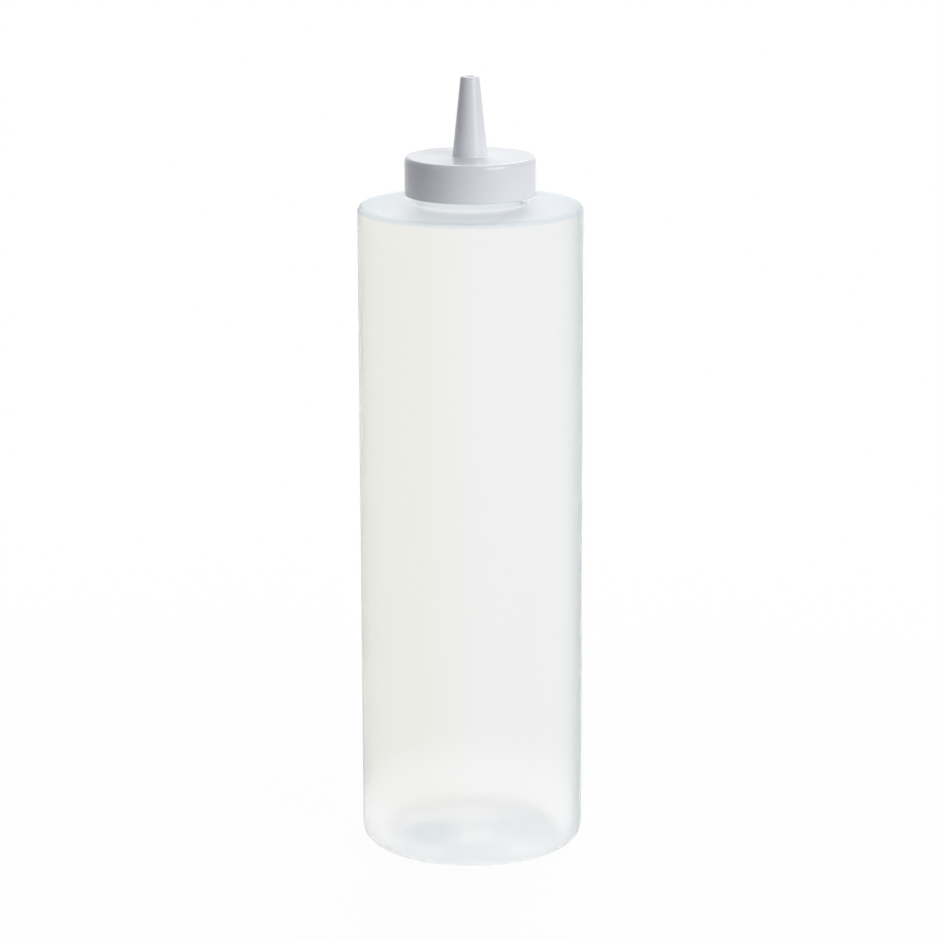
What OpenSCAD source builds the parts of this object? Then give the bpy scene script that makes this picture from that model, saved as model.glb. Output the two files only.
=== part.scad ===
// Squeeze bottle for sauce, with a screw cap that ends in a cone nozzle.
// Millimetres. +Z is up, and the origin is the middle of the foot ring's underside.

/* [Body] */
// Outside diameter of the body
body_d = 70; // [56:1:90]
// Height of the shoulder where it meets the neck
shoulder_h = 205.4; // [120:0.2:260]
// Thickness of the blown wall
wall = 1.1; // [0.8:0.1:1.3]
// Outside radius of the corner between wall and shoulder
corner_r = 1.8; // [1.5:0.1:6]
// Angle at which the shoulder climbs towards the neck, in degrees
shoulder_tilt = 1.5; // [0:0.5:20]

/* [Base] */
// Outside radius of the heel, where the wall turns in to the foot
heel_r = 5.2; // [3:0.1:9]
// Width of the flat land that the bottle stands on
foot_land = 2.4; // [1.5:0.1:5]
// Height of the pushed-up middle of the base
push_up = 3.2; // [3:0.1:8]

/* [Neck finish] */
// Diameter over the thread's crest
crest_d = 37.5; // [34:0.1:40]
// Height of the thread's crest over the neck
thread_depth = 1.2; // [0.9:0.05:1.4]
// Rise of the thread in one turn
thread_pitch = 4.233; // [3.6:0.001:5]
// Turns that each of the two threads makes
thread_turns = 1.25; // [1:0.05:1.3]
// Width of the thread's crest
thread_crest_w = 1; // [0.7:0.05:1.1]
// Slope of the thread's flanks, in degrees
flank_a = 30; // [20:1:35]
// Distance from the rim to the start of the thread
thread_start = 1.2; // [1.1:0.1:1.6]
// Thickness of the neck
neck_wall = 2.35; // [1.8:0.05:3.5]
// Height of the rim above the shoulder
neck_h = 12.3; // [11.5:0.1:16]
// Radius of the fillet where the neck leaves the shoulder
neck_fillet = 0.8; // [0.4:0.1:1.5]
// Radius that eases the bore into the body
mouth_fillet = 2; // [1:0.1:3]
// Radius on both edges of the rim
rim_r = 0.5; // [0.2:0.1:0.9]

/* [Cap] */
// Height of the skirt and deck
cap_h = 11.9; // [11:0.1:12.6]
// Thickness of the skirt
skirt_wall = 1.22; // [0.9:0.01:2]
// Thickness of the deck
deck_t = 1.4; // [1:0.1:2.4]
// Height of the bevel round the top edge
bevel_h = 1.2; // [0.3:0.1:2]
// Inward run of the bevel round the top edge
bevel_in = 0.6; // [0.2:0.1:1.2]
// Bevel on both lower edges of the skirt
skirt_ease = 0.3; // [0.1:0.05:0.4]
// Distance from the skirt's lower edge to the start of its thread
thread_lead = 0.5; // [0.45:0.05:0.9]

/* [Nozzle] */
// Height of the nozzle above the deck
nozzle_h = 24.6; // [14:0.1:40]
// Diameter of the cone where it meets the deck
nozzle_base_d = 11; // [9:0.1:16]
// Diameter of the cone at its tip
nozzle_tip_d = 5.8; // [5:0.1:7.5]
// Thickness of the cone at its base
nozzle_wall = 1.3; // [0.9:0.05:1.8]
// Bore of the outlet
outlet_d = 2.6; // [1.6:0.1:3.4]
// Length of the straight outlet
outlet_l = 4; // [2:0.5:8]
// Radius of the fillets where the cone meets the deck
nozzle_fillet = 0.5; // [0.4:0.1:1.6]
// Radius on the tip's outer edge
tip_r = 0.6; // [0.2:0.1:0.9]

/* [Seal] */
// Thickness of the washer
seal_t = 0.8; // [0.5:0.05:1.2]
// How far the washer reaches in past the bore of the neck
seal_lap = 0.2; // [0:0.1:1.5]
// How far the bead that holds the washer stands in from the skirt
bead_in = 0.6; // [0.5:0.05:0.7]
// Height of the bead that holds the washer
bead_h = 0.9; // [0.6:0.05:1]
// Distance from the bead's upper end down to its peak
bead_peak = 0.3; // [0.2:0.05:0.5]

/* [Clearances] */
// Room between the neck's thread and the skirt
skirt_play = 0.35; // [0.25:0.05:0.6]
// Room between the skirt's thread and the neck
crest_play = 0.4; // [0.3:0.05:0.6]
// Room between the flanks that meet when the cap is tight
flank_play = 0.15; // [0.1:0.05:0.3]
// Room between the washer and the skirt
seal_play = 0.3; // [0.2:0.05:0.4]
// Room above and below the washer
seat_gap = 0.05; // [0.02:0.01:0.1]

/* [Hidden] */
$fn = 144;
// Turn of one straight step along an arc, in degrees
arc_step = 15;
// Length by which a cut runs past the faces that it opens
over = 1;
// Straight steps in one turn of a thread
thread_sides = 48;
// Turn over which a thread runs out at each end, in degrees
thread_fade = 40;
// Share of its height that a thread has at its very end
thread_end = 0.2;
// Depth that a thread's foot is sunk into its wall
thread_sink = 0.4;
body_r = body_d / 2;
neck_r = crest_d / 2 - thread_depth;
mouth_r = neck_r - neck_wall;
rim_z = shoulder_h + neck_h;
push_r = push_up / 2;
foot_in_r = body_r - heel_r - foot_land;
disc_r = foot_in_r - push_up;
deck_under_z = rim_z + seal_t + 2 * seat_gap;
deck_z = deck_under_z + deck_t;
skirt_z = deck_z - cap_h;
skirt_in_r = crest_d / 2 + skirt_play;
cap_r = skirt_in_r + skirt_wall;
tip_z = deck_z + nozzle_h;
// Height of the skirt's thread over the skirt's inner face
skirt_thread_depth = thread_depth + skirt_play - crest_play;
// Middle of each thread at its lower end
neck_thread_z = rim_z - thread_start - thread_w(thread_depth) / 2 - thread_pitch * thread_turns;
skirt_thread_z = skirt_z + thread_lead + thread_w(skirt_thread_depth) / 2;
// Drop from the neck's thread to the skirt's thread that lies under it
thread_drop = (thread_crest_w + thread_w(skirt_thread_depth - skirt_play)) / 2 + flank_play;
// Turn that brings the skirt's thread under the neck's thread by that drop
skirt_thread_turn = 360 * (skirt_thread_z - neck_thread_z + thread_drop) / thread_pitch;
nozzle_base_r = nozzle_base_d / 2;
outlet_r = outlet_d / 2;
bore_base_r = nozzle_base_r - nozzle_wall;
// Half angles of the cone outside and inside
cone_a = atan((nozzle_base_r - nozzle_tip_d / 2) / nozzle_h);
bore_a = atan((bore_base_r - outlet_r) / (nozzle_h - outlet_l + deck_t));

// Points along an arc in the radius and height plane, from angle a to angle b
function arc(centre, r, a, b) =
    let (steps = ceil(abs(b - a) / arc_step))
    [for (i = [0 : steps]) let (t = a + (b - a) * i / steps) centre + r * [cos(t), sin(t)]];

// Height of the shoulder's outer face at a radius
function shoulder_z(r) = shoulder_h - (r - neck_r) * tan(shoulder_tilt);

// Radius of the nozzle's outer face at a height
function cone_r(z) = nozzle_base_r - (z - deck_z) * tan(cone_a);

// Radius of the nozzle's bore at a height
function bore_r(z) = bore_base_r - (z - deck_under_z) * tan(bore_a);

// Centre of the rounded corner between the wall and the shoulder
function shoulder_corner() =
    [body_r - corner_r, shoulder_z(body_r - corner_r) - corner_r / cos(shoulder_tilt)];

// Centre of a fillet between a vertical neck face and a face at a depth under the shoulder
function shoulder_fillet(r, fillet, depth) =
    [r + fillet, shoulder_z(r + fillet) + (fillet - depth) / cos(shoulder_tilt)];

// Outer face of the bottle, from the middle of the base to the rim
function bottle_outside() =
    [
        [0, push_up],
        each arc([disc_r, push_r], push_r, 90, 0),
        each arc([foot_in_r, push_r], push_r, 180, 270),
        each arc([body_r - heel_r, heel_r], heel_r, 270, 360),
        each arc(shoulder_corner(), corner_r, 0, 90 - shoulder_tilt),
        each arc(shoulder_fillet(neck_r, neck_fillet, 0), neck_fillet, 270 - shoulder_tilt, 180),
        each arc([neck_r - rim_r, rim_z - rim_r], rim_r, 0, 90)
    ];

// Inner face of the bottle, from the rim back to the middle of the base
function bottle_inside() =
    [
        each arc([mouth_r + rim_r, rim_z - rim_r], rim_r, 90, 180),
        each arc(shoulder_fillet(mouth_r, mouth_fillet, wall), mouth_fillet, 180, 270 - shoulder_tilt),
        each arc(shoulder_corner(), corner_r - wall, 90 - shoulder_tilt, 0),
        each arc([body_r - heel_r, heel_r], heel_r - wall, 360, 270),
        each arc([foot_in_r, push_r], push_r - wall, 270, 180),
        each arc([disc_r, push_r], push_r + wall, 0, 90),
        [0, push_up + wall]
    ];

// Width of a thread at a depth below its crest
function thread_w(depth) = thread_crest_w + 2 * depth * tan(flank_a);

// Section of a thread in radius and height, grown to a share of its full height
function thread_section(wall_r, height, share) =
    let (side = sign(height), foot_w = thread_w(abs(height) + thread_sink))
    [
        [wall_r - side * thread_sink, -side * foot_w / 2],
        [wall_r + height * share, -side * thread_crest_w / 2],
        [wall_r + height * share, side * thread_crest_w / 2],
        [wall_r - side * thread_sink, side * foot_w / 2]
    ];

// Right-hand thread on a round wall, standing out from it, or in from it where height is negative
module thread(wall_r, height) {
    steps = round(thread_turns * thread_sides);
    sweep = 360 * thread_turns;
    points = [
        for (i = [0 : steps])
            let (a = sweep * i / steps, run = min(a, sweep - a) / thread_fade)
            for (p = thread_section(wall_r, height, min(1, thread_end + run)))
                [p.x * cos(a), p.x * sin(a), p.y + thread_pitch * a / 360]
    ];
    sides = [
        for (i = [0 : steps - 1], j = [0 : 3])
            let (k = (j + 1) % 4, here = 4 * i, next = 4 * i + 4)
            each [[here + j, here + k, next + k], [here + j, next + k, next + j]]
    ];
    ends = [[3, 2, 1, 0], [for (j = [0 : 3]) 4 * steps + j]];
    polyhedron(points, concat(sides, ends));
}

// One-piece blown bottle
module bottle() {
    color([0.93, 0.94, 0.93])
        union() {
            rotate_extrude()
                polygon(concat(bottle_outside(), bottle_inside()));
            translate([0, 0, neck_thread_z])
                thread(neck_r, thread_depth);
        }
}

// Washer between the rim and the deck
module seal_liner() {
    color([0.97, 0.97, 0.96])
        translate([0, 0, rim_z + seat_gap])
            difference() {
                cylinder(h = seal_t, r = skirt_in_r - seal_play);
                translate([0, 0, -over])
                    cylinder(h = seal_t + 2 * over, r = mouth_r - seal_lap);
            }
}

// Outer face of the cap, from the foot of the skirt to the outlet
function cap_outside() =
    [
        [cap_r - skirt_ease, skirt_z],
        [cap_r, skirt_z + skirt_ease],
        [cap_r, deck_z - bevel_h],
        [cap_r - bevel_in, deck_z],
        each arc(
            [cone_r(deck_z + nozzle_fillet) + nozzle_fillet / cos(cone_a), deck_z + nozzle_fillet],
            nozzle_fillet, 270, 180 + cone_a),
        each arc([cone_r(tip_z - tip_r) - tip_r / cos(cone_a), tip_z - tip_r], tip_r, cone_a, 90)
    ];

// Inner face of the cap, from the outlet back to the foot of the skirt
function cap_inside() =
    [
        [outlet_r, tip_z],
        [outlet_r, tip_z - outlet_l],
        each arc(
            [bore_r(deck_under_z + nozzle_fillet) + nozzle_fillet / cos(bore_a), deck_under_z + nozzle_fillet],
            nozzle_fillet, 180 + bore_a, 270),
        [skirt_in_r, deck_under_z],
        [skirt_in_r, rim_z],
        [skirt_in_r - bead_in, rim_z - bead_peak],
        [skirt_in_r, rim_z - bead_h],
        [skirt_in_r, skirt_z + skirt_ease],
        [skirt_in_r + skirt_ease, skirt_z]
    ];

// Screw cap with its deck and nozzle
module nozzle_cap() {
    color([0.9, 0.91, 0.93])
        union() {
            rotate_extrude()
                polygon(concat(cap_outside(), cap_inside()));
            translate([0, 0, skirt_thread_z])
                rotate([0, 0, skirt_thread_turn])
                    thread(skirt_in_r, -skirt_thread_depth);
        }
}

bottle();
seal_liner();
nozzle_cap();
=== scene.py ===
import math

import bmesh
import bpy
from mathutils import Euler, Matrix, Vector


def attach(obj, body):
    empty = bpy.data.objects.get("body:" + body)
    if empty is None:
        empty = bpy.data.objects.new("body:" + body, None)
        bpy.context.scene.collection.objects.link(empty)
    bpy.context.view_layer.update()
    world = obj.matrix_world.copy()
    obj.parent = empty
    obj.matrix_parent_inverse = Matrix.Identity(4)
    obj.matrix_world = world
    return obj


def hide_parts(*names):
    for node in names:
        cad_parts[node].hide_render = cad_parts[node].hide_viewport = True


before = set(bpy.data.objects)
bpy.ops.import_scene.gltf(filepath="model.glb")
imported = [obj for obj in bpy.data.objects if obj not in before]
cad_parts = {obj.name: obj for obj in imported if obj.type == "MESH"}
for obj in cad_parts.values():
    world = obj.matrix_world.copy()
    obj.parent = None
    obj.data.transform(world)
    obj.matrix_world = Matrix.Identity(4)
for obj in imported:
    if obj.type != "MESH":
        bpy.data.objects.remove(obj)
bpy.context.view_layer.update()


# The camera stands where the photographer's stood: a long lens, a little more than a metre in
# front of the bottle and 39 cm up, looking slightly down on the cap. The picture leans by a fifth
# of a degree, so the camera does too.

CAMERA_PLACE = (0.0, -1.1188, 0.3893)
CAMERA_PITCH = 13.52
CAMERA_YAW = 0.019
CAMERA_ROLL = -0.19

eye = bpy.data.cameras.new("long_lens")
eye.sensor_width = 36
eye.lens = 139.98
eye.dof.use_dof = False
camera = bpy.data.objects.new("camera", eye)
bpy.context.scene.collection.objects.link(camera)
camera.matrix_world = (
    Matrix.Translation(CAMERA_PLACE)
    @ Euler((math.radians(90 - CAMERA_PITCH), 0, math.radians(CAMERA_YAW))).to_matrix().to_4x4()
    @ Matrix.Rotation(math.radians(CAMERA_ROLL), 4, "Z")
)
bpy.context.scene.camera = camera


# The bottle is one blown piece of natural low-density polyethylene, milky and see-through. A hot
# tube of plastic was closed in a two-part mould and blown against its walls, so it has a thin
# wall, a parting line down each side and a pinched seam across its base. The neck has a thread.

MM = 0.001

BODY_R = 35.0
SHOULDER_H = 205.4
SHOULDER_TILT = 1.5
CORNER_R = 1.8
WALL = 1.1
HEEL_R = 5.2
FOOT_LAND = 2.4
PUSH_UP = 3.2
PUSH_R = 1.6
NECK_R = 17.55
NECK_WALL = 2.35
RIM_Z = 217.7
RIM_R = 0.5
NECK_FILLET = 0.8
MOUTH_FILLET = 2.0

MOUTH_R = NECK_R - NECK_WALL
FOOT_IN_R = BODY_R - HEEL_R - FOOT_LAND
DISC_R = FOOT_IN_R - 2 * PUSH_R

THREAD_PITCH = 4.233
THREAD_DEGREES = 450
THREAD_CREST = 1.0
THREAD_FLANK = math.tan(math.radians(30))
THREAD_FADE = 40
THREAD_END = 0.2
NECK_THREAD_Z = 210.016
NECK_THREAD_DEPTH = 1.2

PARTING_HEIGHT = 0.07
PARTING_HALF = 0.28
PARTING_CREST = 0.03
WALL_WAVE = 0.035
WAVE_LOW_Z = 12
WAVE_HIGH_Z = 200
SEAM_HALF = 0.9
SEAM_DROP = 0.9
SEAM_END_R = 19
BASE_SWELL = 0.7
CLOSE = 0.01


def arc(centre, radius, start, end, step=7.5):
    """Points on a quarter or so of a circle, from one angle to another, in degrees."""
    count = max(2, math.ceil(abs(end - start) / step))
    turns = [math.radians(start + (end - start) * i / count) for i in range(count + 1)]
    return [(centre[0] + radius * math.cos(a), centre[1] + radius * math.sin(a)) for a in turns]


def shoulder_z(radius):
    """Height of the shoulder's outside at a radius."""
    return SHOULDER_H - (radius - NECK_R) * math.tan(math.radians(SHOULDER_TILT))


def shoulder_fillet(radius, fillet, depth):
    """Centre of the fillet where a neck wall meets the shoulder, or its underside."""
    slope = math.cos(math.radians(SHOULDER_TILT))
    return (radius + fillet, shoulder_z(radius + fillet) + (fillet - depth) / slope)


def bottle_outline():
    """Half section of the bottle, from the middle of the base out, up, over the rim and back in."""
    corner_r = BODY_R - CORNER_R
    corner = (corner_r, shoulder_z(corner_r) - CORNER_R / math.cos(math.radians(SHOULDER_TILT)))
    heel = (BODY_R - HEEL_R, HEEL_R)
    tilt = SHOULDER_TILT
    outside = [(0, PUSH_UP)]
    outside += arc((DISC_R, PUSH_R), PUSH_R, 90, 0)
    outside += arc((FOOT_IN_R, PUSH_R), PUSH_R, 180, 270)
    outside += arc(heel, HEEL_R, 270, 360)
    outside += arc(corner, CORNER_R, 0, 90 - tilt)
    outside += arc(shoulder_fillet(NECK_R, NECK_FILLET, 0), NECK_FILLET, 270 - tilt, 180, 11)
    outside += arc((NECK_R - RIM_R, RIM_Z - RIM_R), RIM_R, 0, 90, 15)
    inside = arc((MOUTH_R + RIM_R, RIM_Z - RIM_R), RIM_R, 90, 180, 15)
    inside += arc(shoulder_fillet(MOUTH_R, MOUTH_FILLET, WALL), MOUTH_FILLET, 180, 270 - tilt)
    inside += arc(corner, CORNER_R - WALL, 90 - tilt, 0, 15)
    inside += arc(heel, HEEL_R - WALL, 360, 270)
    inside += arc((FOOT_IN_R, PUSH_R), PUSH_R - WALL, 270, 180, 15)
    inside += arc((DISC_R, PUSH_R), PUSH_R + WALL, 0, 90)
    inside += [(0, PUSH_UP + WALL)]
    return outside + inside


def with_rows(outline, step, guard, dense, closed=False):
    """The outline with more points: near each end of a straight run, along it, and very close
    together where a thread stands on it. dense holds (lowest, highest, spacing, radius)."""
    low, high, spacing, thread_r = dense
    rows = []
    ends = zip(outline, outline[1:] + outline[:1] if closed else outline[1:])
    for (r0, z0), (r1, z1) in ends:
        rows.append((r0, z0))
        length = math.hypot(r1 - r0, z1 - z0)
        if length < 1e-6:
            rows.pop()
            continue
        along = set()
        if length > 4 * guard:
            along.update((guard / length, 1 - guard / length))
            count = math.ceil(length / step)
            along.update(i / count for i in range(1, count))
        if abs(r0 - thread_r) < CLOSE and abs(r1 - thread_r) < CLOSE:
            count = math.ceil((high - low) / spacing)
            heights = [low + (high - low) * i / count for i in range(count + 1)]
            along = {t for t in along if not low < z0 + (z1 - z0) * t < high}
            along.update((h - z0) / (z1 - z0) for h in heights if min(z0, z1) < h < max(z0, z1))
        rows += [(r0 + (r1 - r0) * t, z0 + (z1 - z0) * t) for t in sorted(along)]
    if not closed:
        rows.append(outline[-1])
    return rows


def thread_height(angle, height, start_z, depth):
    """How far a thread stands off its wall at an angle in degrees and a height in millimetres."""
    best = 0.0
    for turn in range(2):
        a = angle % 360 + 360 * turn
        if a > THREAD_DEGREES:
            continue
        share = min(1, THREAD_END + min(a, THREAD_DEGREES - a) / THREAD_FADE)
        off = abs(height - start_z - THREAD_PITCH * a / 360)
        rise = depth - max(0, off - THREAD_CREST / 2) / THREAD_FLANK
        best = max(best, min(rise, depth * share))
    return best


def spun(name, rows, sides, offset, closed=False):
    """A mesh turned round the Z axis from rows of (radius, height) in millimetres. offset gives
    how far each point moves out and up. A row on the axis becomes one point."""
    bm = bmesh.new()
    rings = []
    for r, z in rows:
        if r < 1e-6:
            rings.append([bm.verts.new((0, 0, z * MM))] * sides)
            continue
        ring = []
        for i in range(sides):
            angle = 360 * i / sides
            out, up = offset(r, z, angle)
            c, s = math.cos(math.radians(angle)), math.sin(math.radians(angle))
            ring.append(bm.verts.new(((r + out) * c * MM, (r + out) * s * MM, (z + up) * MM)))
        rings.append(ring)
    pairs = list(zip(rings, rings[1:]))
    if closed:
        pairs.append((rings[-1], rings[0]))
    for lower, upper in pairs:
        for i in range(sides):
            j = (i + 1) % sides
            corners = list(dict.fromkeys((lower[i], lower[j], upper[j], upper[i])))
            bm.faces.new(corners)
    bmesh.ops.recalc_face_normals(bm, faces=bm.faces)
    mesh = bpy.data.meshes.new(name)
    bm.to_mesh(mesh)
    bm.free()
    mesh.polygons.foreach_set("use_smooth", [True] * len(mesh.polygons))
    piece = bpy.data.objects.new(name, mesh)
    bpy.context.scene.collection.objects.link(piece)
    return piece


def bottle_offset(r, z, angle):
    """What blowing and the mould leave on the plain turned form: a parting line down each side,
    a pinched seam across the base, slight waves in the wall, and the thread on the neck."""
    a = math.radians(angle)
    out = up = 0.0
    skin = min(1, max(0, r - BODY_R + 0.5) / 0.4)
    across = abs(r * math.sin(a))
    line = max(0.0, 1 - across / PARTING_HALF) if z > HEEL_R else 0.0
    if BODY_R - WALL - CLOSE < r:
        fade = min(1, max(0, z - WAVE_LOW_Z) / 30, max(0, WAVE_HIGH_Z - z) / 20)
        wave = math.sin(2 * a + 0.4 + z / 61) + 0.7 * math.sin(3 * a - z / 37 + 1.1)
        out += WALL_WAVE * fade * (wave - 1.7) / 1.7
    out += skin * (PARTING_HEIGHT * (line - 1) - PARTING_CREST)
    if r < DISC_R + CLOSE and z < PUSH_UP + CLOSE:
        seam = max(0.0, 1 - across / SEAM_HALF) * min(1, max(0, SEAM_END_R - r) / 3)
        up -= SEAM_DROP * seam
    if r < DISC_R + CLOSE and PUSH_UP + WALL / 2 < z < PUSH_UP + WALL + 2 * CLOSE:
        up += BASE_SWELL * (0.5 + 0.5 * math.cos(math.pi * r / DISC_R))
    if abs(r - NECK_R) < CLOSE:
        out += thread_height(angle, z, NECK_THREAD_Z, NECK_THREAD_DEPTH)
    return out, up


neck_rows = (NECK_THREAD_Z - 1.5, NECK_THREAD_Z + THREAD_PITCH * 1.25 + 1.5, 0.11, NECK_R)
bottle = spun("milky_bottle", with_rows(bottle_outline(), 2.5, 0.2, neck_rows), 240, bottle_offset)
bottle.data.set_sharp_from_angle(angle=math.radians(50))


def linear(hex_colour):
    """An sRGB hex colour as the four linear numbers that a socket takes."""
    parts = [int(hex_colour[i : i + 2], 16) / 255 for i in (1, 3, 5)]
    curve = [p / 12.92 if p <= 0.04045 else ((p + 0.055) / 1.055) ** 2.4 for p in parts]
    return (*curve, 1.0)


def add(tree, kind, inputs=None, **settings):
    """Adds a node, sets it, and fills its inputs with values or links them to other outputs."""
    node = tree.nodes.new(kind)
    for name, value in settings.items():
        setattr(node, name, value)
    for socket, value in (inputs or {}).items():
        if isinstance(value, bpy.types.NodeSocket):
            tree.links.new(value, node.inputs[socket])
        else:
            node.inputs[socket].default_value = value
    return node


def material(name):
    """An empty node material and its tree."""
    made = bpy.data.materials.new(name)
    made.use_nodes = True
    made.node_tree.nodes.clear()
    return made, made.node_tree


# Spots in the base tinted bluer, partly the plastic's pools and partly painted shade: middle (x, y)
# and half widths in millimetres, and depth.
POOL_AND_SHADE_SPOTS = ((-13.5, -11, 13, 16, 1.0), (17, -6, 18, 19, 0.65), (0, -25, 20, 5, 0.8))


def blown_polyethylene():
    """Natural low-density polyethylene, blown: the wall is so milky that it blurs what is behind
    it more than it bends it, so it has a low IOR and a high roughness, and its skin's own waxy
    gloss is a thin coat. Its left side is painted a little warmer, painted warmer light. Painted
    shade makes the top of the shoulder a little bluer, and the round corner of the shoulder and
    the right edge darker and bluer. The neck's thicker wall scatters blue, and spots in the base
    are bluer, partly the plastic's pools and partly painted shade. Low down the wall is painted
    pure white, a painted light on the base. Faint upright lines come from the die that the hot
    tube was pressed through."""
    made, tree = material("natural_low_density_polyethylene_blown")
    where = add(tree, "ShaderNodeTexCoord").outputs["Object"]
    parts = add(tree, "ShaderNodeSeparateXYZ", {"Vector": where})
    height = parts.outputs["Z"]
    drawn = add(tree, "ShaderNodeMapping", {"Vector": where, "Scale": (1, 1, 0.12)})
    cloud = add(
        tree,
        "ShaderNodeTexNoise",
        {"Vector": drawn.outputs["Vector"], "Scale": 45.0, "Detail": 2.0, "Roughness": 0.5},
    )
    milk = add(
        tree,
        "ShaderNodeMix",
        {0: cloud.outputs["Fac"], 6: linear("#F8F8F8"), 7: linear("#FAFAFA")},
        data_type="RGBA",
    )
    # The left side is painted a little warmer: painted warmer light.
    painted_warmth_left = add(
        tree,
        "ShaderNodeMapRange",
        {0: parts.outputs["X"], 1: -0.020, 2: 0.008, 3: 1.0, 4: 0.0},
        interpolation_type="SMOOTHSTEP",
    )
    # The top of the shoulder is painted a little bluer and darker: painted shade. The round corner
    # of the shoulder gets a darker, bluer painted shade line, and the neck, whose wall is thicker,
    # the same tint.
    painted_shade_on_top = add(
        tree,
        "ShaderNodeMapRange",
        {0: height, 1: 0.2028, 2: 0.2034},
        interpolation_type="SMOOTHSTEP",
    )
    flat = add(tree, "ShaderNodeVectorMath", {0: where, 1: (1, 1, 0)}, operation="MULTIPLY")
    radius = add(tree, "ShaderNodeVectorMath", {0: flat.outputs[0]}, operation="LENGTH")
    # The round corner of the shoulder: a painted shade line, darker and bluer.
    outermost = add(
        tree,
        "ShaderNodeMapRange",
        {0: radius.outputs["Value"], 1: 0.033, 2: 0.034},
        interpolation_type="SMOOTHSTEP",
    )
    topmost = add(
        tree,
        "ShaderNodeMapRange",
        {0: height, 1: 0.2030, 2: 0.2034, 3: 0.0, 4: 0.8},
        interpolation_type="SMOOTHSTEP",
    )
    corner = add(
        tree,
        "ShaderNodeMath",
        {0: outermost.outputs[0], 1: topmost.outputs[0]},
        operation="MULTIPLY",
    )
    neck = add(
        tree,
        "ShaderNodeMapRange",
        {0: height, 1: 0.2055, 2: 0.2062, 3: 0.0, 4: 0.7},
        interpolation_type="SMOOTHSTEP",
    )
    # The neck's thicker wall and the corner's painted shade line share one tint.
    neck_and_painted_corner_shade = add(
        tree,
        "ShaderNodeMath",
        {0: corner.outputs[0], 1: neck.outputs[0]},
        operation="MAXIMUM",
    )
    # Low down the wall is painted pure white, a painted light that brightens the base, apart from
    # its pools.
    painted_light_low_down = add(
        tree,
        "ShaderNodeMapRange",
        {0: height, 1: 0.010, 2: 0.024, 3: 1.0, 4: 0.0},
        interpolation_type="SMOOTHSTEP",
    )
    # The right edge is painted darker and bluer: painted shade.
    side = add(
        tree,
        "ShaderNodeMapRange",
        {0: parts.outputs["X"], 1: 0.0295, 2: 0.0350},
        interpolation_type="SMOOTHSTEP",
    )
    # Spots in the base, partly the plastic's pools and partly painted shade.
    pools_and_painted_shade = 0.0
    for x, y, half_x, half_y, depth in POOL_AND_SHADE_SPOTS:
        off = add(
            tree, "ShaderNodeVectorMath", {0: where, 1: (x * MM, y * MM, 0)}, operation="SUBTRACT"
        )
        off = add(
            tree,
            "ShaderNodeVectorMath",
            {0: off.outputs[0], 1: (1000 / half_x, 1000 / half_y, 0)},
            operation="MULTIPLY",
        )
        off = add(tree, "ShaderNodeVectorMath", {0: off.outputs[0]}, operation="LENGTH")
        pool_and_shade = add(
            tree,
            "ShaderNodeMapRange",
            {0: off.outputs["Value"], 1: 0.3, 2: 1.2, 3: depth, 4: 0.0},
            interpolation_type="SMOOTHSTEP",
        )
        pools_and_painted_shade = add(
            tree, "ShaderNodeMath", {0: pools_and_painted_shade, 1: pool_and_shade.outputs[0]}, operation="MAXIMUM"
        ).outputs[0]
    in_base = add(
        tree,
        "ShaderNodeMapRange",
        {0: height, 1: 0.006, 2: 0.010, 3: 1.0, 4: 0.0},
        interpolation_type="SMOOTHSTEP",
    )
    pools_and_painted_shade = add(
        tree, "ShaderNodeMath", {0: pools_and_painted_shade, 1: in_base.outputs[0]}, operation="MULTIPLY"
    )
    # In turn: painted warmer light on the left, painted shade on the shoulder's top, the neck's tint
    # with the corner's painted shade line, painted light low down, painted shade on the right edge,
    # and the spots in the base with their painted shade.
    for share, tint in (
        (painted_warmth_left, "#F8F8F5"),
        (painted_shade_on_top, "#F4F7FA"),
        (neck_and_painted_corner_shade, "#E5ECEF"),
        (painted_light_low_down, "#FFFFFF"),
        (side, "#EBEEEF"),
        (pools_and_painted_shade, "#EEF3F6"),
    ):
        milk = add(
            tree,
            "ShaderNodeMix",
            {0: share.outputs[0], 6: milk.outputs[2], 7: linear(tint)},
            data_type="RGBA",
        )
    # The die lines are about 0.4 mm apart and a few micrometres deep, many centimetres long.
    lines_at = add(tree, "ShaderNodeMapping", {"Vector": where, "Scale": (1, 1, 0.015)})
    lines = add(
        tree,
        "ShaderNodeTexNoise",
        {"Vector": lines_at.outputs["Vector"], "Scale": 900.0, "Detail": 1.0},
    )
    dimple = add(tree, "ShaderNodeTexNoise", {"Vector": where, "Scale": 160.0, "Detail": 2.0})
    both = add(
        tree,
        "ShaderNodeMix",
        {0: 0.4, 2: lines.outputs["Fac"], 3: dimple.outputs["Fac"]},
        data_type="FLOAT",
    )
    bump = add(
        tree,
        "ShaderNodeBump",
        {"Strength": 0.04, "Distance": 0.0003, "Height": both.outputs[0]},
    )
    haze = add(
        tree,
        "ShaderNodeMapRange",
        {0: cloud.outputs["Fac"], 1: 0.3, 2: 0.7, 3: 0.52, 4: 0.58},
    )
    plastic = add(
        tree,
        "ShaderNodeBsdfPrincipled",
        {
            "Base Color": milk.outputs[2],
            "Metallic": 0.0,
            "Roughness": haze.outputs[0],
            "IOR": 1.05,
            "Transmission Weight": 0.97,
            "Coat Weight": 0.08,
            "Coat Roughness": 0.12,
            "Coat IOR": 1.51,
            "Normal": bump.outputs["Normal"],
            "Coat Normal": bump.outputs["Normal"],
        },
    )
    # The milky body takes a little light, red first, so the wall's long way round the edge is
    # darker and bluer than its short way through the middle.
    body = add(
        tree, "ShaderNodeVolumeAbsorption", {"Color": linear("#404F4F"), "Density": 4.0}
    )
    add(
        tree,
        "ShaderNodeOutputMaterial",
        {"Surface": plastic.outputs["BSDF"], "Volume": body.outputs["Volume"]},
    )
    return made


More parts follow.
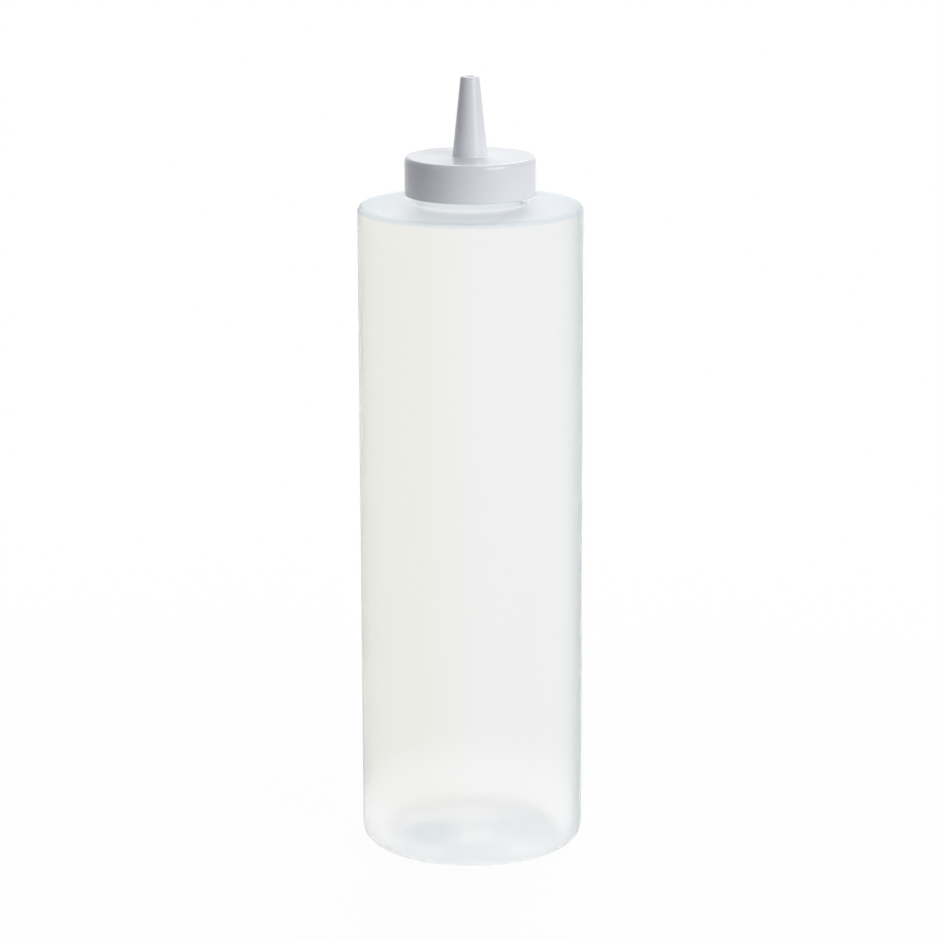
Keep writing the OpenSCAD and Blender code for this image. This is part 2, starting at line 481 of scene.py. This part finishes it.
bottle.data.materials.append(blown_polyethylene())
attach(bottle, "bottle")
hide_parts("bottle")


# The seal is a washer die-cut from white polyethylene foam. It lies between the bottle's rim and
# the underside of the cap, held in the cap by a small bead, and is squeezed when the cap is tight.

SEAL_IN_R = 15.0
SEAL_OUT_R = 18.8
SEAL_LOW = 217.75
SEAL_HIGH = 218.55
SEAL_EDGE = 0.18


def seal_outline():
    """Half section of the washer, with edges that the cutting die left slightly rounded."""
    low, high, edge = SEAL_LOW + SEAL_EDGE, SEAL_HIGH - SEAL_EDGE, SEAL_EDGE
    points = arc((SEAL_OUT_R - edge, low), edge, 270, 360, 30)
    points += arc((SEAL_OUT_R - edge, high), edge, 0, 90, 30)
    points += arc((SEAL_IN_R + edge, high), edge, 90, 180, 30)
    points += arc((SEAL_IN_R + edge, low), edge, 180, 270, 30)
    return points


no_thread = (0, 0, 1, -1)
seal_rows = with_rows(seal_outline(), 0.8, 0.05, no_thread, closed=True)
seal = spun("foam_seal", seal_rows, 144, lambda r, z, angle: (0, 0), closed=True)


def closed_cell_foam():
    """White closed-cell polyethylene foam, die-cut: dull and finely pitted, each cell a quarter
    of a millimetre across."""
    made, tree = material("closed_cell_polyethylene_foam")
    where = add(tree, "ShaderNodeTexCoord")
    cells = add(
        tree, "ShaderNodeTexVoronoi", {"Vector": where.outputs["Object"], "Scale": 4000.0}
    )
    tint = add(
        tree,
        "ShaderNodeMix",
        {0: cells.outputs["Distance"], 6: linear("#E4E4DE"), 7: linear("#F1F1EC")},
        data_type="RGBA",
    )
    bump = add(
        tree,
        "ShaderNodeBump",
        {"Strength": 0.5, "Distance": 0.0001, "Height": cells.outputs["Distance"]},
    )
    foam = add(
        tree,
        "ShaderNodeBsdfPrincipled",
        {
            "Base Color": tint.outputs[2],
            "Roughness": 0.75,
            "IOR": 1.5,
            "Normal": bump.outputs["Normal"],
        },
    )
    add(tree, "ShaderNodeOutputMaterial", {"Surface": foam.outputs["BSDF"]})
    return made


seal.data.materials.append(closed_cell_foam())
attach(seal, "seal_liner")
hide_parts("seal_liner")


# The nozzle cap is one piece of white polypropylene, injection moulded: a smooth skirt with the
# thread inside it, a flat deck, and a hollow cone that the sauce comes out of. It screws onto the
# neck and stops when the washer meets the rim.

CAP_R = 20.32
DECK_Z = 220.0
DECK_UNDER_Z = 218.6
SKIRT_Z = 208.1
SKIRT_IN_R = 19.1
SKIRT_EASE = 0.3
BEVEL_H = 1.2
BEVEL_IN = 0.6
BEVEL_ROUND = 2.0
DECK_EDGE_ROUND = 0.8
NOZZLE_H = 24.6
NOZZLE_BASE_R = 5.5
NOZZLE_TIP_R = 2.9
NOZZLE_WALL = 1.3
NOZZLE_FILLET = 0.5
TIP_ROUND = 0.6
TIP_Z = DECK_Z + NOZZLE_H
OUTLET_R = 1.3
OUTLET_L = 4.0
OUTLET_ROUND = 0.12
LIP_ROUND = 0.25
BEAD_IN = 0.6
BEAD_H = 0.9
BEAD_PEAK = 0.3
CAP_THREAD_Z = 209.764
CAP_THREAD_DEPTH = 1.15
CAP_THREAD_TURN = 115.7

CONE_SLOPE = (NOZZLE_BASE_R - NOZZLE_TIP_R) / NOZZLE_H
BORE_BASE_R = NOZZLE_BASE_R - NOZZLE_WALL
BORE_SLOPE = (BORE_BASE_R - OUTLET_R) / (TIP_Z - OUTLET_L - DECK_UNDER_Z)


def rounded(corner, before, after, radius, step=15):
    """A corner of an outline, rounded between the points before and after it."""
    a = (Vector(before) - Vector(corner)).normalized()
    b = (Vector(after) - Vector(corner)).normalized()
    half = a.angle(b) / 2
    centre = Vector(corner) + (a + b).normalized() * radius / math.sin(half)
    first = Vector(corner) + a * radius / math.tan(half) - centre
    last = Vector(corner) + b * radius / math.tan(half) - centre
    turn = first.angle_signed(last)
    count = max(2, math.ceil(abs(math.degrees(turn)) / step))
    return [
        tuple(centre + Matrix.Rotation(-turn * i / count, 2) @ first) for i in range(count + 1)
    ]


def cap_outline():
    """Half section of the cap: outside up to the nozzle's tip, then down its bore and the inside."""
    cone = math.atan(CONE_SLOPE)
    bore = math.atan(BORE_SLOPE)
    foot_z = DECK_Z + NOZZLE_FILLET
    foot_r = NOZZLE_BASE_R - CONE_SLOPE * NOZZLE_FILLET + NOZZLE_FILLET / math.cos(cone)
    tip_z = TIP_Z - TIP_ROUND
    tip_r = NOZZLE_TIP_R + CONE_SLOPE * TIP_ROUND - TIP_ROUND / math.cos(cone)
    inner_z = DECK_UNDER_Z + NOZZLE_FILLET
    inner_r = BORE_BASE_R - BORE_SLOPE * NOZZLE_FILLET + NOZZLE_FILLET / math.cos(bore)
    bevel = (CAP_R, DECK_Z - BEVEL_H)
    deck = (CAP_R - BEVEL_IN, DECK_Z)
    lip = (SKIRT_IN_R, DECK_UNDER_Z)
    points = rounded((CAP_R, SKIRT_Z), (SKIRT_IN_R, SKIRT_Z), bevel, SKIRT_EASE)
    points += rounded(bevel, (CAP_R, SKIRT_Z), deck, BEVEL_ROUND, 5)
    points += rounded(deck, bevel, (0, DECK_Z), DECK_EDGE_ROUND, 11)
    points += arc((foot_r, foot_z), NOZZLE_FILLET, 270, 180 + math.degrees(cone), 11)
    points += arc((tip_r, tip_z), TIP_ROUND, math.degrees(cone), 90, 11)
    points += rounded((OUTLET_R, TIP_Z), (tip_r, TIP_Z), (OUTLET_R, tip_z), OUTLET_ROUND, 30)
    points += [(OUTLET_R, TIP_Z - OUTLET_L)]
    points += arc((inner_r, inner_z), NOZZLE_FILLET, 180 + math.degrees(bore), 270, 15)
    points += rounded(lip, (0, DECK_UNDER_Z), (SKIRT_IN_R, RIM_Z), LIP_ROUND, 30)
    points += [(SKIRT_IN_R, RIM_Z)]
    points += [(SKIRT_IN_R - BEAD_IN, RIM_Z - BEAD_PEAK)]
    points += [(SKIRT_IN_R, RIM_Z - BEAD_H)]
    points += rounded((SKIRT_IN_R, SKIRT_Z), (SKIRT_IN_R, RIM_Z), (CAP_R, SKIRT_Z), SKIRT_EASE)
    return points


def cap_offset(r, z, angle):
    """The thread inside the skirt, standing inwards."""
    if abs(r - SKIRT_IN_R) > CLOSE:
        return 0.0, 0.0
    return -thread_height(angle - CAP_THREAD_TURN, z, CAP_THREAD_Z, CAP_THREAD_DEPTH), 0.0


cap_rows = (CAP_THREAD_Z - 1.45, CAP_THREAD_Z + THREAD_PITCH * 1.25 + 1.5, 0.11, SKIRT_IN_R)
cap_points = with_rows(cap_outline(), 1.2, 0.12, cap_rows, closed=True)
cap = spun("nozzle_screw_cap", cap_points, 240, cap_offset, closed=True)
cap.data.set_sharp_from_angle(angle=math.radians(40))


def moulded_polypropylene():
    """White polypropylene, injection moulded in a polished mould: nearly opaque, a cool white
    with a satin shine, faint cloudy flow marks and a very fine skin texture."""
    made, tree = material("white_polypropylene_moulded")
    where = add(tree, "ShaderNodeTexCoord")
    flow = add(
        tree,
        "ShaderNodeTexNoise",
        {"Vector": where.outputs["Object"], "Scale": 90.0, "Detail": 3.0, "Roughness": 0.45},
    )
    tint = add(
        tree,
        "ShaderNodeMix",
        {0: flow.outputs["Fac"], 6: linear("#EBEDF0"), 7: linear("#F0F1F4")},
        data_type="RGBA",
    )
    # The skin's grain is about 0.3 mm, left by the steel of the mould.
    grain = add(
        tree,
        "ShaderNodeTexNoise",
        {"Vector": where.outputs["Object"], "Scale": 3300.0, "Detail": 2.0},
    )
    bump = add(
        tree,
        "ShaderNodeBump",
        {"Strength": 0.06, "Distance": 0.00008, "Height": grain.outputs["Fac"]},
    )
    shine = add(
        tree,
        "ShaderNodeMapRange",
        {0: flow.outputs["Fac"], 1: 0.3, 2: 0.7, 3: 0.16, 4: 0.20},
    )
    plastic = add(
        tree,
        "ShaderNodeBsdfPrincipled",
        {
            "Base Color": tint.outputs[2],
            "Metallic": 0.0,
            "Roughness": shine.outputs[0],
            "IOR": 1.49,
            "Normal": bump.outputs["Normal"],
        },
    )
    add(tree, "ShaderNodeOutputMaterial", {"Surface": plastic.outputs["BSDF"]})
    return made


cap.data.materials.append(moulded_polypropylene())
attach(cap, "nozzle_cap")
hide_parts("nozzle_cap")


# The room is a photographer's white cove: a pale floor that runs into a white surround, a large
# soft lamp on the right in front and another high behind, and weak cool light from everywhere
# else. What the plastic shows of the surround is brighter on the left than on the right.

FLOOR_HALF = 4.0
SHADOW_SHARE = 0.04
SHADOW_REACH = 0.45
KEY_PLACE = (1.1, -1.0, 0.8)
KEY_SIDE = 1.0
KEY_WATTS = 15.4
BACK_PLACE = (0.1, 1.0, 1.3)
BACK_SIDE = 1.0
BACK_WATTS = 14.0
LAMP_AIM = (0, 0, 0.15)
ROOM_LEVEL = 0.24
SCATTERED_SHARE = 0.5
LEFT_LEVEL = 1.15
RIGHT_LEVEL = 0.35
SIDE_END = 0.95
SIDE_START = 0.1


def seen_directly(tree):
    """1 for a ray that shows the background: to the camera, in a reflection or through plastic,
    and less once it has been scattered by a dull surface."""
    ray = add(tree, "ShaderNodeLightPath")
    mirror = add(
        tree,
        "ShaderNodeMath",
        {0: ray.outputs["Is Camera Ray"], 1: ray.outputs["Is Glossy Ray"]},
        operation="MAXIMUM",
    )
    shown = add(
        tree,
        "ShaderNodeMath",
        {0: mirror.outputs[0], 1: ray.outputs["Is Transmission Ray"]},
        operation="MAXIMUM",
    )
    fresh = add(
        tree,
        "ShaderNodeMapRange",
        {0: ray.outputs["Diffuse Depth"], 1: 0.0, 2: 1.0, 3: 1.0, 4: SCATTERED_SHARE},
    )
    return add(
        tree,
        "ShaderNodeMath",
        {0: shown.outputs[0], 1: fresh.outputs[0]},
        operation="MULTIPLY",
    ).outputs[0]


def cove_floor():
    """Matt white painted floor, which the eye sees as plain white with a faint soft shadow."""
    made, tree = material("matt_white_floor")
    seen = seen_directly(tree)
    tint = add(
        tree,
        "ShaderNodeMix",
        {0: seen, 6: linear("#B4B4B4"), 7: linear("#FCFCFC")},
        data_type="RGBA",
    )
    paint = add(tree, "ShaderNodeBsdfDiffuse", {"Color": tint.outputs[2]})
    glow = add(tree, "ShaderNodeEmission", {"Color": (1, 1, 1, 1), "Strength": 1.0})
    where = add(tree, "ShaderNodeTexCoord")
    away = add(tree, "ShaderNodeVectorMath", {0: where.outputs["Object"]}, operation="LENGTH")
    clear = add(
        tree,
        "ShaderNodeMapRange",
        {0: away.outputs["Value"], 1: 0.0, 2: SHADOW_REACH, 3: 1 - SHADOW_SHARE, 4: 1.0},
        interpolation_type="SMOOTHSTEP",
    )
    share = add(tree, "ShaderNodeMath", {0: seen, 1: clear.outputs[0]}, operation="MULTIPLY")
    mix = add(
        tree,
        "ShaderNodeMixShader",
        {0: share.outputs[0], 1: paint.outputs[0], 2: glow.outputs[0]},
    )
    add(tree, "ShaderNodeOutputMaterial", {"Surface": mix.outputs[0]})
    return made


floor_mesh = bpy.data.meshes.new("floor")
floor_mesh.from_pydata(
    [(x * FLOOR_HALF, y * FLOOR_HALF, 0) for x, y in ((-1, -1), (1, -1), (1, 1), (-1, 1))],
    [],
    [(0, 1, 2, 3)],
)
floor = bpy.data.objects.new("floor", floor_mesh)
floor.data.materials.append(cove_floor())
bpy.context.scene.collection.objects.link(floor)

for name, place, side, watts in (
    ("soft_key", KEY_PLACE, KEY_SIDE, KEY_WATTS),
    ("soft_back", BACK_PLACE, BACK_SIDE, BACK_WATTS),
):
    lamp = bpy.data.lights.new(name, "AREA")
    lamp.shape = "SQUARE"
    lamp.size = side
    lamp.energy = watts
    stand = bpy.data.objects.new(name, lamp)
    stand.location = place
    towards = Vector(place) - Vector(LAMP_AIM)
    stand.rotation_euler = towards.to_track_quat("Z", "Y").to_euler()
    stand.visible_transmission = False
    bpy.context.scene.collection.objects.link(stand)

world = bpy.data.worlds.new("white_surround")
world.use_nodes = True
world.node_tree.nodes.clear()
surround = world.node_tree
dim = linear("#EEF2FF")
way = add(surround, "ShaderNodeTexCoord")
way_parts = add(surround, "ShaderNodeSeparateXYZ", {"Vector": way.outputs["Generated"]})
level = 1.0
for end, end_level in ((-SIDE_END, LEFT_LEVEL), (SIDE_END, RIGHT_LEVEL)):
    side = add(
        surround,
        "ShaderNodeMapRange",
        {0: way_parts.outputs["X"], 1: end * SIDE_START, 2: end, 3: 1.0, 4: end_level},
        interpolation_type="SMOOTHSTEP",
    )
    level = add(
        surround, "ShaderNodeMath", {0: level, 1: side.outputs[0]}, operation="MULTIPLY"
    ).outputs[0]
ray = add(surround, "ShaderNodeLightPath")
level = add(
    surround,
    "ShaderNodeMix",
    {0: ray.outputs["Is Camera Ray"], 2: level, 3: 1.0},
    data_type="FLOAT",
)
white = add(
    surround,
    "ShaderNodeCombineColor",
    {0: level.outputs[0], 1: level.outputs[0], 2: level.outputs[0]},
)
shade = add(
    surround,
    "ShaderNodeMix",
    {
        0: seen_directly(surround),
        6: [c * ROOM_LEVEL for c in dim[:3]] + [1],
        7: white.outputs[0],
    },
    data_type="RGBA",
)
sky = add(surround, "ShaderNodeBackground", {"Color": shade.outputs[2], "Strength": 1.0})
add(surround, "ShaderNodeOutputWorld", {"Surface": sky.outputs[0]})
bpy.context.scene.world = world
bpy.context.scene.view_settings.view_transform = "Standard"

# Light goes to and fro inside the milky plastic many times before it leaves.
paths = bpy.context.scene.cycles
paths.max_bounces = 32
paths.glossy_bounces = 24
paths.transmission_bounces = 32
paths.diffuse_bounces = 6


bpy.context.view_layer.update()
